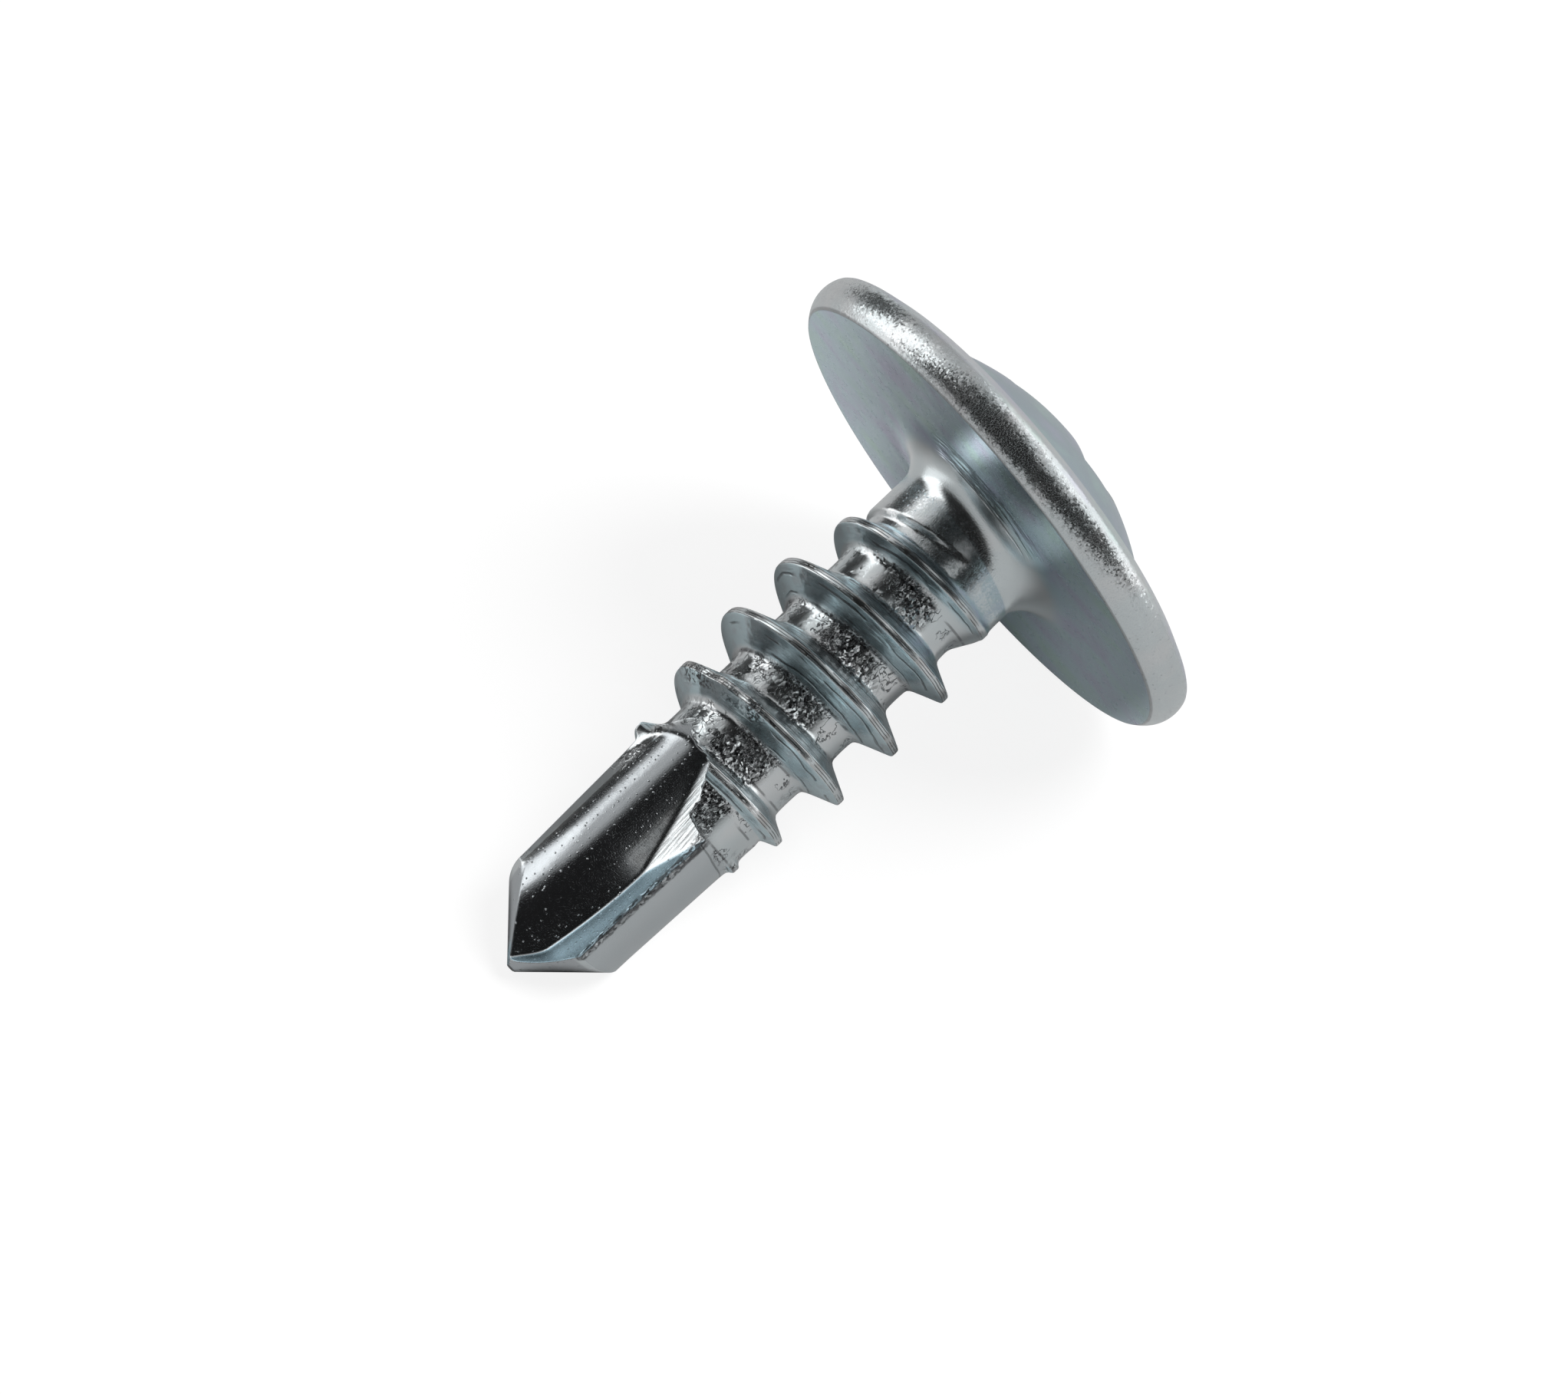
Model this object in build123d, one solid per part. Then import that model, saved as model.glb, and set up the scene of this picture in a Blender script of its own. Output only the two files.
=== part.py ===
from build123d import *
import math
import os

os.makedirs("parts", exist_ok=True)

# Self drilling screw, 4.2 x 13 mm (No. 8 x 1/2 in), wafer head, cross recess No. 2.
# Built upright: the shank axis is Z, the bearing face is at Z = 0, the head is up.
# It is laid down at the end. Lengths in millimetres, angles in degrees.

# head, half section from the bearing face round the rim to the crown
bearing_r = 5.11
rim_r = 5.36
rim_mid_z = 0.47
rim_top_r = 5.285
rim_top_z = 0.82
bevel_r = 4.73
bevel_z = 1.045
crown_foot_r = 3.42
crown_foot_z = 1.25
crown_z = 2.35
neck_fillet = 0.60

# the head is forged a little out of square and off centre
head_cant = 4.45
cant_towards = 85.0
head_shift = 0.09
shift_towards = -90.0
head_lift = -0.04

# cross recess No. 2
recess_turn = 29.0
recess_depth = 2.10          # below the crown
wing_span = 4.84             # across the wings at the crown
wing_width = 1.48
wing_span_low = 2.56         # and at the foot of the wings
wing_width_low = 0.90
centre_width = 2.60          # round middle of the recess
centre_width_low = 1.70
centre_point = 0.40

# shank
neck_r = 1.64
neck_end_z = -1.72
root_r = 1.36
root_start_z = -2.25
root_end_z = -7.30
body_start_z = -7.62
body_start_r = 1.53
shoulder_z = -11.00
body_r = 1.43
point_z = -12.85             # where the flanks would meet
blunt_z = -12.75

# right-hand thread; turns are counted from the crest at angle 0
pitch = 1.43
crest_zero_z = -4.67
crest_r = 2.11
crest_width = 0.16
flank_angle = 24.5
first_turn = -2.80
last_turn = 2.25
run_out_drop = 0.49          # the crest sinks towards both ends
fade_low = -0.60
fade_high = 0.10
wobble = -0.115              # the rolled thread runs slightly out of square
squeeze_start = -2.10        # the last turn is pushed up by the forged point
squeeze = 0.45
steps_per_turn = 30

# resting on the rim of the head and the drill body
rest_side = 151.2            # the side of the shank that faces the table
rest_tilt = 21.3             # the shank runs down towards the point

# cutting wings
near_wing_angle = 40.7       # half angle of the flank cones of the two wings
far_wing_angle = 38.2
relief_tilt = 14.0           # each flank falls away behind its cutting edge
relief_towards = 13.0

# flute section where it is full, and just below the point
heel_full = (-0.14, -1.52)
floor_low_full = (0.38, -1.16)
floor_high_full = (0.72, -0.66)
floor_mid_full = (0.81, -0.10)
crease_full = (0.75, 0.42)
heel_point = (-0.45, -1.60)
floor_low_point = (-0.26, -1.10)
floor_high_point = (-0.14, -0.70)
floor_mid_point = (-0.08, -0.30)
crease_point = (-0.06, 0.00)
flute_full_z = -9.80
flute_low_z = -13.10
flute_top_z = -6.40
cutting_edge = (1.32, 0.83)
cutter_reach = 3.0

# upper end of a flute: one point on the ramp and on the wall, and the way each faces
ramp_foot = (0.75, 0.42, -9.80)
ramp_normal = (0.833, -0.523, -0.180)
wall_point = (0.60, -0.91, -7.29)
wall_normal = (0.685, -0.287, -0.670)

# the body hangs over the upper end of a flute with an uneven edge: Y and Z along it
overhang_edge = (
    (3.00, -8.30), (0.85, -8.30), (0.20, -8.14), (0.14, -7.80),
    (-0.25, -7.14), (-0.90, -7.05), (-1.00, -6.93), (-1.00, -5.50), (3.00, -5.50),
)
overhang_slope = 10.5        # its sides run outwards and down by this angle


def limit(value):
    return min(max(value, 0.0), 1.0)


def turned(*points):
    # Solid of revolution about Z from its half section.
    outline = Polyline(*points, points[0])
    return revolve(Plane.XZ * make_face(outline), Axis.Z)


def make_head():
    rim = ThreePointArc((bearing_r, 0), (rim_r, rim_mid_z), (rim_top_r, rim_top_z))
    bevel = Line((rim_top_r, rim_top_z), (bevel_r, bevel_z))
    flange = Line((bevel_r, bevel_z), (crown_foot_r, crown_foot_z))
    rise = crown_z - crown_foot_z
    ball_r = (crown_foot_r**2 + rise**2) / (2 * rise)
    mid_r = crown_foot_r / 2
    mid_z = crown_z - ball_r + math.sqrt(ball_r**2 - mid_r**2)
    crown = ThreePointArc((crown_foot_r, crown_foot_z), (mid_r, mid_z), (0, crown_z))
    axis = Line((0, crown_z), (0, 0))
    base = Line((0, 0), (bearing_r, 0))
    face = make_face([rim, bevel, flange, crown, axis, base])
    return revolve(Plane.XZ * face, Axis.Z) - make_recess()


def cross_section(height, span, width):
    # A plus sign: two bars across each other.
    cross = Rectangle(span, width) + Rectangle(width, span)
    return Plane.XY.offset(height) * cross


def make_recess():
    # Tapered wings, a tapered round middle and a pointed bottom.
    foot_z = crown_z - recess_depth + centre_point
    over = 0.30
    grow = 1 + over / (crown_z - foot_z)
    top_z = crown_z + over
    span = wing_span_low + (wing_span - wing_span_low) * grow
    width = wing_width_low + (wing_width - wing_width_low) * grow
    wings = loft(
        [cross_section(foot_z, wing_span_low, wing_width_low), cross_section(top_z, span, width)],
        ruled=True,
    )
    centre = turned(
        (0, foot_z - centre_point),
        (centre_width_low / 2, foot_z),
        (centre_width / 2, crown_z),
        (centre_width / 2, top_z),
        (0, top_z),
    )
    return Rot(0, 0, recess_turn) * (wings + centre)


def shank_blank():
    # Neck, thread root and drill body turned in one piece.
    return turned(
        (0, head_lift + 0.6),
        (neck_r, head_lift + 0.6),
        (neck_r, neck_end_z),
        (root_r, root_start_z),
        (root_r, root_end_z),
        (body_start_r, body_start_z),
        (body_r, shoulder_z),
        (body_r, blunt_z),
        (0, blunt_z),
    )


def thread_section(turn):
    # Trapezoid of the ridge at one place along the helix, its foot sunk into the root.
    low_end = limit((fade_low - turn) / 2.0)
    high_end = limit((turn - fade_high) / 2.1)
    crest = crest_r - run_out_drop * (low_end + high_end**3)
    angle = math.radians(360 * turn)
    height = crest_zero_z + pitch * turn + wobble * math.sin(angle)
    height += squeeze * limit((squeeze_start - turn) / 0.65)
    foot = root_r - 0.15
    half = crest_width / 2
    wide = half + (crest - foot) * math.tan(math.radians(flank_angle))
    outline = Polyline((foot, -wide), (crest, -half), (crest, half), (foot, wide), (foot, -wide))
    plane = Plane(
        origin=(0, 0, height),
        x_dir=(math.cos(angle), math.sin(angle), 0),
        z_dir=(math.sin(angle), -math.cos(angle), 0),
    )
    return plane * make_face(outline)


def thread_ridge():
    count = round((last_turn - first_turn) * steps_per_turn)
    length = last_turn - first_turn
    sections = [thread_section(first_turn + length * i / count) for i in range(count + 1)]
    return loft(sections, ruled=True)


def wing_cone(turn, half_angle):
    # Flank of one cutting wing: a cone tipped over so that it falls away behind the edge.
    height = 22.0
    cone = Cone(0, height * math.tan(math.radians(half_angle)), height)
    cone = Location((0, 0, height / 2)) * cone
    cone = Rot(0, 0, relief_towards) * Rot(0, relief_tilt, 0) * cone
    return Rot(0, 0, turn) * Location((0, 0, point_z)) * cone


def blend(low, full, share):
    return (low[0] + (full[0] - low[0]) * share, low[1] + (full[1] - low[1]) * share)


def flute_section(height):
    # Cutter section at one height, closed outside the body.
    share = limit((height - flute_low_z) / (flute_full_z - flute_low_z))
    share = 1 - (1 - share) ** 1.8
    heel = blend(heel_point, heel_full, share)
    low = blend(floor_low_point, floor_low_full, share)
    high = blend(floor_high_point, floor_high_full, share)
    mid = blend(floor_mid_point, floor_mid_full, share)
    crease = blend(crease_point, crease_full, share)
    run = math.hypot(cutting_edge[0] - crease[0], cutting_edge[1] - crease[1])
    far = blend(crease, cutting_edge, cutter_reach / run)
    back = (heel[0] - 0.55, heel[1] - 1.0)
    corner = (cutter_reach + 1.0, -3.0)
    floor = Spline(heel, low, high, mid, crease)
    sides = Polyline(crease, far, corner, back, heel)
    return Plane.XY.offset(height) * make_face([floor, sides])


def block_behind(point, normal):
    # Large block cut back to one side of a plane.
    block = Location((0, 0, -10)) * Box(12, 12, 14)
    return split(block, bisect_by=Plane(origin=point, z_dir=normal), keep=Keep.BOTTOM)


def make_overhang():
    # Prism of body material that closes the upper end of a flute.
    outline = Polyline(*[(0, y, z) for y, z in overhang_edge], (0, *overhang_edge[0]))
    slope = math.radians(overhang_slope)
    return extrude(make_face(outline), 4.0, dir=(math.cos(slope), 0, -math.sin(slope)))


def make_flute():
    # Channel over a web that thickens upwards; a slanted wall, a ramp and the overhang close it.
    rise = flute_full_z - flute_low_z
    heights = [flute_low_z + rise * i / 4 for i in range(5)] + [flute_top_z]
    channel = loft([flute_section(height) for height in heights], ruled=True)
    wall = block_behind(wall_point, wall_normal)
    ramp = block_behind(ramp_foot, ramp_normal)
    return channel - wall - ramp - make_overhang()


def make_shank():
    shank = shank_blank() + thread_ridge()
    shank = shank & (wing_cone(0, near_wing_angle) + wing_cone(180, far_wing_angle))
    flute = make_flute()
    return shank - flute - Rot(0, 0, 180) * flute


def place_head(head):
    side = math.radians(shift_towards)
    offset = (head_shift * math.cos(side), head_shift * math.sin(side), head_lift)
    cant = Rot(0, 0, cant_towards) * Rot(0, head_cant, 0) * Rot(0, 0, -cant_towards)
    return Location(offset) * cant * head


def make_screw():
    screw = make_shank() + place_head(make_head())
    corner = screw.edges().filter_by(GeomType.ELLIPSE).sort_by(Axis.Z)
    near_neck = [edge for edge in corner if abs(edge.length - 2 * math.pi * neck_r) < 0.2]
    return fillet(near_neck, neck_fillet)


def lay_down(screw):
    # Turn the resting side to the table, tip the shank down and set the screw on Z = 0.
    screw = Rot(0, 90 - rest_tilt, 0) * Rot(0, 0, -rest_side) * screw
    box = screw.bounding_box()
    centre = box.center()
    return Location((-centre.X, -centre.Y, -box.min.Z)) * screw


screw = make_screw()
screw = lay_down(screw)
screw.label = "screw"
export_step(screw, "parts/screw.step")
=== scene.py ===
import math
import bmesh
import bpy
from mathutils import Euler, Matrix, Vector, noise


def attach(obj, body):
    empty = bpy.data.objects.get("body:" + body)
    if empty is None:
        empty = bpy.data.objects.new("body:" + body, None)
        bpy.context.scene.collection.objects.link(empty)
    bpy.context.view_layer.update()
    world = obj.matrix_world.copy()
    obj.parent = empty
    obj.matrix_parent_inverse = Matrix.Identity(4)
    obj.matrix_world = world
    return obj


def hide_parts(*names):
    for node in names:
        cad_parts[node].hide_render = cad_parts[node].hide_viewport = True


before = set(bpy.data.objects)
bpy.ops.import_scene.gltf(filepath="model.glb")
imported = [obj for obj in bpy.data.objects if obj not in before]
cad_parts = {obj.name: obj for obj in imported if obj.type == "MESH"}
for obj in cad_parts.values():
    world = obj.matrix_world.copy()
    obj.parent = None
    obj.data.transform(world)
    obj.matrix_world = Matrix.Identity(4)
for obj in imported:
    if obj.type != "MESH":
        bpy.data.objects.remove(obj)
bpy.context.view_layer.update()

# Self drilling screw with a wafer head, 4.2 x 13. The mesh is made upright in millimetres,
# shank axis on Z and bearing face at Z = 0, and is laid down into the frame at the end.
print("screw scene: start")

rest = {"side": 151.2, "tilt": 21.3, "shift": (4.688646, -0.042386, 4.898723)}


def restMatrix():
    turn = Matrix.Rotation(math.radians(90 - rest["tilt"]), 4, "Y")
    roll = Matrix.Rotation(math.radians(-rest["side"]), 4, "Z")
    return Matrix.Scale(0.001, 4) @ Matrix.Translation(rest["shift"]) @ turn @ roll


def clamp01(x):
    return min(max(x, 0.0), 1.0)


def smooth(x):
    x = clamp01(x)
    return x * x * (3 - 2 * x)


def lerp(a, b, t):
    return a + (b - a) * t


def roundMax(a, b, k):
    return (a + b + math.sqrt((a - b) ** 2 + k * k)) / 2


def wander(point, size, seed):
    # smooth random value, about -1 to 1, that changes over the given size in mm
    return noise.noise(Vector(point) / size + Vector((seed, seed * 0.7, -seed)))


def meshObject(name, verts, faces):
    mesh = bpy.data.meshes.new(name)
    mesh.from_pydata([tuple(v) for v in verts], [], faces)
    mesh.validate()
    thing = bpy.data.objects.new(name, mesh)
    bpy.context.scene.collection.objects.link(thing)
    return thing


def recalc(thing):
    bm = bmesh.new()
    bm.from_mesh(thing.data)
    bmesh.ops.recalc_face_normals(bm, faces=bm.faces)
    bm.to_mesh(thing.data)
    bm.free()


def combine(thing, tool, operation):
    # boolean of two closed meshes, the tool is used up
    cut = thing.modifiers.new("cut", "BOOLEAN")
    cut.operation = operation
    cut.solver = "MANIFOLD"
    cut.object = tool
    deps = bpy.context.evaluated_depsgraph_get()
    made = bpy.data.meshes.new_from_object(thing.evaluated_get(deps))
    thing.modifiers.clear()
    thing.data = made
    bpy.data.objects.remove(tool)
    return thing


def ringStack(name, rings):
    # closed mesh from rings of points with the same count, ends capped flat
    count = len(rings[0])
    verts = [p for ring in rings for p in ring]
    faces = []
    for i in range(len(rings) - 1):
        for j in range(count):
            k = (j + 1) % count
            faces.append((i * count + j, i * count + k, (i + 1) * count + k, (i + 1) * count + j))
    faces.append(tuple(range(count - 1, -1, -1)))
    faces.append(tuple((len(rings) - 1) * count + j for j in range(count)))
    return meshObject(name, verts, faces)


shank = {
    "columns": 240, "bodyRows": 12,    # vertices round the shank, rows below the thread
    "neckRadius": 1.64, "neckEnd": -1.72,
    "rootRadius": 1.36, "rootStart": -2.25, "rootEnd": -7.30,
    "bodyStart": -7.62, "bodyStartRadius": 1.53,
    "shoulder": -11.0, "bodyRadius": 1.43, "blunt": -12.75,
    "corner": 0.07,                    # how far the steps between these are rounded
    # step where the root runs out round the neck: height at the angle it is centred on, depth,
    # softness, where it fades out downwards, and where it fades in and out round the neck
    "stepHeight": -1.38, "stepAngle": -65, "stepDepth": 0.14, "stepSoft": 0.14,
    "stepLow": (-2.1, -1.8), "stepIn": (-150, -110), "stepOut": (-25, 20),
}

thread = {
    "pitch": 1.43, "crestZero": -4.67, "crestRadius": 2.11, "crestWidth": 0.16,
    "flankAngle": 24.5, "firstTurn": -2.80, "lastTurn": 2.25, "endSlope": 6.0,
    # the crest sinks towards both ends: by how much, from which turn and over how many turns
    "drop": 0.49, "fadeLow": (-0.60, 2.0), "fadeHigh": (0.10, 2.1),
    "wobble": -0.115,                  # the thread runs slightly out of square
    "squeeze": 0.45, "squeezeFrom": (-2.10, 0.65),
    "rootRounding": 0.10, "crestRounding": 0.014, "reach": 0.8,
    # nicks and lumps of the crest: turn, width in turns, height
    "nicks": ((-1.205, 0.026, 0.05), (-1.135, 0.018, -0.07), (-1.065, 0.014, -0.05), (-0.62, 0.012, -0.03)),
    # turns that the mesh lines follow. Above a height they close up, so that they stay below the head
    "meshTurns": (-5, 1), "closeUp": (-1.6, 0.70),
    # places across one pitch where the mesh has a line, from crest to mid root
    "lines": (0, .025, .045, .053, .060, .070, .09, .12, .155, .19, .23, .262, .29, .318, .35, .40, .45),
}


def crestHeight(turn):
    start, run = thread["squeezeFrom"]
    lift = thread["squeeze"] * clamp01((start - turn) / run)
    sway = thread["wobble"] * math.sin(2 * math.pi * turn)
    return thread["crestZero"] + thread["pitch"] * turn + sway + lift


def crestRadius(turn):
    lowFrom, lowRun = thread["fadeLow"]
    highFrom, highRun = thread["fadeHigh"]
    low = clamp01((lowFrom - turn) / lowRun)
    high = clamp01((turn - highFrom) / highRun)
    radius = thread["crestRadius"] - thread["drop"] * (low + high ** 3)
    for place, width, rise in thread["nicks"]:
        radius += rise * math.exp(-((turn - place) / width) ** 2)
    past = max(thread["firstTurn"] - turn, turn - thread["lastTurn"], 0)
    return radius - thread["endSlope"] * past


def smoothBetween(x, low, high):
    return smooth((x - low) / (high - low))


def bodyRadius(z):
    knots = (
        (shank["blunt"] - 1, shank["bodyRadius"]), (shank["shoulder"], shank["bodyRadius"]),
        (shank["bodyStart"], shank["bodyStartRadius"]), (shank["rootEnd"], shank["rootRadius"]),
        (shank["rootStart"], shank["rootRadius"]), (shank["neckEnd"], shank["neckRadius"]),
        (1.0, shank["neckRadius"]),
    )
    for (z0, r0), (z1, r1) in zip(knots, knots[1:]):
        if z <= z1:
            return lerp(r0, r1, clamp01((z - z0) / (z1 - z0)))
    return shank["neckRadius"]


def neckStep(share, z):
    # the root of the thread runs up round the neck on one side and leaves a step
    angle = 360 * share - 180
    edge = shank["stepHeight"] + thread["pitch"] * (angle - shank["stepAngle"]) / 360
    fade = smoothBetween(angle, *shank["stepIn"]) * (1 - smoothBetween(angle, *shank["stepOut"]))
    below = smooth((edge - z) / shank["stepSoft"]) * smoothBetween(z, *shank["stepLow"])
    return shank["stepDepth"] * fade * below


def shankRadius(share, z):
    # share is the part of a turn from azimuth 180, where the mesh has its seam
    body = sum(bodyRadius(z + d * shank["corner"]) for d in (-1, 0, 1)) / 3 - neckStep(share, z)
    ridge = 0
    slope = math.tan(math.radians(thread["flankAngle"]))
    firstTurn, lastTurn = thread["meshTurns"]
    for n in range(firstTurn, lastTurn + 3):
        turn = n + 0.5 + share
        away = abs(z - crestHeight(turn))
        if away > thread["reach"]:
            continue
        flank = roundMax(away - thread["crestWidth"] / 2, 0, thread["crestRounding"])
        ridge = max(ridge, crestRadius(turn) - flank / slope)
    return roundMax(body, ridge, thread["rootRounding"]) - thread["rootRounding"] ** 2 * 0.1


def shankPoint(share, z):
    angle = math.radians(180 + 360 * share)
    r = shankRadius(share, z)
    return Vector((r * math.cos(angle), r * math.sin(angle), z))


def makeShankRings():
    # vertex rows that follow the helix, with wedges that bring them back to flat rings
    half = thread["lines"]
    fractions = list(half) + [0.5] + [1 - f for f in reversed(half[1:])]
    per = len(fractions)
    firstTurn, lastTurn = thread["meshTurns"]
    firstLine = firstTurn * per + per // 2
    count = (lastTurn - firstTurn) * per
    columns = shank["columns"]

    def lineHeight(line, share):
        n, k = divmod(line + firstLine, per)
        low = crestHeight(n + 0.5 + share)
        z = lerp(low, crestHeight(n + 1.5 + share), fractions[k])
        start, closer = thread["closeUp"]
        return min(z, start + (z - start) * closer)

    verts = []
    index = {}

    def add(i, j, z):
        index[i, j] = len(verts)
        verts.append(shankPoint(j / columns, z))

    low = lineHeight(0, 0)
    lowSpan = lineHeight(per, 0) - low
    high = lineHeight(count, 1)
    highSpan = high - lineHeight(count, 0)
    for i in range(-per, count + per + 1):
        for j in range(columns):
            share = j / columns
            if j == 0 and -per < i <= 0:
                index[i, 0] = 0              # the lower wedge starts at a single point
            elif i < 0:
                rise = (lineHeight(i + per, 0) - low) / lowSpan
                add(i, j, lerp(low, lineHeight(0, share), rise))
            elif i <= count:
                add(i, j, lineHeight(i, share))
            else:
                rise = (lineHeight(i, 0) - lineHeight(count, 0)) / highSpan
                add(i, j, lerp(lineHeight(count, share), high, rise))

    def at(i, j):
        if j < columns:
            return index[i, j]
        return index[min(i + per, count + per), 0]

    faces = []
    for i in range(-per, count + per):
        for j in range(columns):
            loop = [at(i, j), at(i, j + 1), at(i + 1, j + 1), at(i + 1, j)]
            loop = [v for k, v in enumerate(loop) if v != loop[k - 1]]
            if len(loop) > 2:
                faces.append(tuple(loop))
    bottom = [index[-per, j] for j in range(columns)]
    top = [index[count + per, j] for j in range(columns)]
    return verts, faces, bottom, top


head = {
    "bearing": 5.11, "rim": 5.36, "rimMid": 0.47, "rimTop": (5.285, 0.82), "bevel": (4.73, 1.045),
    "crownFoot": (3.42, 1.25), "crown": 2.35,
    "filletRows": 14, "underRows": 16, "rimRows": 18, "bevelRows": 8, "flangeRows": 12, "crownRows": 26,
    "fillet": 0.74, "filletReach": 1.20,                      # down the neck, and out under the head
    "cant": 4.45, "cantTowards": 85.0,                        # forged a little out of square
    "shift": 0.09, "shiftTowards": -90.0, "lift": -0.04,      # and off centre
}

# cross recess: spans, widths and the round middle at the foot and at the crown
recess = {
    "turn": 29.0, "depth": 2.10, "span": (2.56, 4.84), "width": (0.90, 1.48),
    "centre": (1.70, 2.60), "point": 0.40, "over": 0.30, "steps": 8, "sides": 72,
}


def headMatrix():
    side = math.radians(head["shiftTowards"])
    to = math.radians(head["cantTowards"])
    place = (head["shift"] * math.cos(side), head["shift"] * math.sin(side), head["lift"])
    cant = Matrix.Rotation(to, 4, "Z") @ Matrix.Rotation(math.radians(head["cant"]), 4, "Y")
    return Matrix.Translation(place) @ cant @ Matrix.Rotation(-to, 4, "Z")


def arcThrough(a, b, c, steps):
    # points on the circle through three points of the half section
    ax, ay, bx, by, cx, cy = *a, *b, *c
    d = 2 * (ax * (by - cy) + bx * (cy - ay) + cx * (ay - by))
    ux = ((ax**2 + ay**2) * (by - cy) + (bx**2 + by**2) * (cy - ay) + (cx**2 + cy**2) * (ay - by)) / d
    uy = ((ax**2 + ay**2) * (cx - bx) + (bx**2 + by**2) * (ax - cx) + (cx**2 + cy**2) * (bx - ax)) / d
    r = math.hypot(ax - ux, ay - uy)
    start = math.atan2(ay - uy, ax - ux)
    end = math.atan2(cy - uy, cx - ux)
    angles = [lerp(start, end, i / steps) for i in range(steps + 1)]
    return [(ux + r * math.cos(t), uy + r * math.sin(t)) for t in angles]


def line(a, b, steps):
    return [(lerp(a[0], b[0], i / steps), lerp(a[1], b[1], i / steps)) for i in range(steps + 1)]


def softened(points, reach=0.5, times=2):
    # rounds the corners of a fine outline
    for _ in range(times):
        inner = []
        for i in range(1, len(points) - 1):
            (x0, y0), (x1, y1), (x2, y2) = points[i - 1], points[i], points[i + 1]
            inner.append((lerp(x1, (x0 + x2) / 2, reach), lerp(y1, (y0 + y2) / 2, reach)))
        points = [points[0]] + inner + [points[-1]]
    return points


def headProfile():
    rim = arcThrough((head["bearing"], 0), (head["rim"], head["rimMid"]), head["rimTop"], head["rimRows"])
    bevel = line(head["rimTop"], head["bevel"], head["bevelRows"])
    flange = line(head["bevel"], head["crownFoot"], head["flangeRows"])
    foot, height = head["crownFoot"]
    rise = head["crown"] - height
    ball = (foot**2 + rise**2) / (2 * rise)
    mid = head["crown"] - ball + math.sqrt(ball**2 - (foot / 2) ** 2)
    crown = arcThrough((foot, height), (foot / 2, mid), (0.0, head["crown"]), head["crownRows"])
    return softened(rim + bevel[1:] + flange[1:] + crown[1:-1])


def filletRows(columns, steps):
    # quarter round from the neck to the canted bearing face, one angle span per column
    place = headMatrix()
    normal = (place.to_3x3() @ Vector((0, 0, 1))).normalized()
    origin = place @ Vector((0, 0, 0))
    rows = []
    for i in range(steps + 1):
        ring = []
        for j in range(columns):
            angle = math.radians(180 + 360 * j / columns)
            out = Vector((math.cos(angle), math.sin(angle), 0))
            slope = -(normal.x * out.x + normal.y * out.y) / normal.z
            last = math.pi / 2 - math.atan(slope * head["filletReach"] / head["fillet"])
            swing = last * i / steps
            reach = shank["neckRadius"] + head["filletReach"] * (1 - math.cos(last))
            top = origin.z + (origin.x * normal.x + origin.y * normal.y) / normal.z + reach * slope
            drop = head["fillet"] * (math.sin(last) - math.sin(swing))
            away = shank["neckRadius"] + head["filletReach"] * (1 - math.cos(swing))
            ring.append(out * away + Vector((0, 0, top - drop)))
        rows.append(ring)
    return rows


def circle(radius, z, count):
    angles = [2 * math.pi * k / count for k in range(count)]
    return [Vector((radius * math.cos(a), radius * math.sin(a), z)) for a in angles]


def makeRecess():
    foot = head["crown"] - recess["depth"] + recess["point"]
    grow = 1 + recess["over"] / (head["crown"] - foot)
    top = head["crown"] + recess["over"]
    shares = [i / recess["steps"] for i in range(recess["steps"] + 1)]
    bars = []
    for across in (False, True):
        rings = []
        for t in shares:
            z = lerp(foot, top, t)
            half = lerp(*recess["span"], t * grow) / 2
            wide = lerp(*recess["width"], t * grow) / 2
            corners = [(-half, -wide), (half, -wide), (half, wide), (-half, wide)]
            if across:
                corners = [(-y, x) for x, y in corners]
            rings.append([Vector((x, y, z)) for x, y in corners])
        bars.append(ringStack("recessBar", rings))
    # round middle with a blunt, slightly hollow point
    low, high = recess["centre"]
    wall = [(low / 2 * t, foot - recess["point"] * (1 - t**1.3)) for t in shares[1:-1]]
    wall += [(lerp(low, high, t) / 2, lerp(foot, head["crown"], t)) for t in shares]
    wall += [(high / 2, top)]
    middle = ringStack("recessCentre", [circle(r, z, recess["sides"]) for r, z in wall])
    tool = combine(combine(bars[0], bars[1], "UNION"), middle, "UNION")
    tool.data.transform(headMatrix() @ Matrix.Rotation(math.radians(recess["turn"]), 4, "Z"))
    return tool


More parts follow.
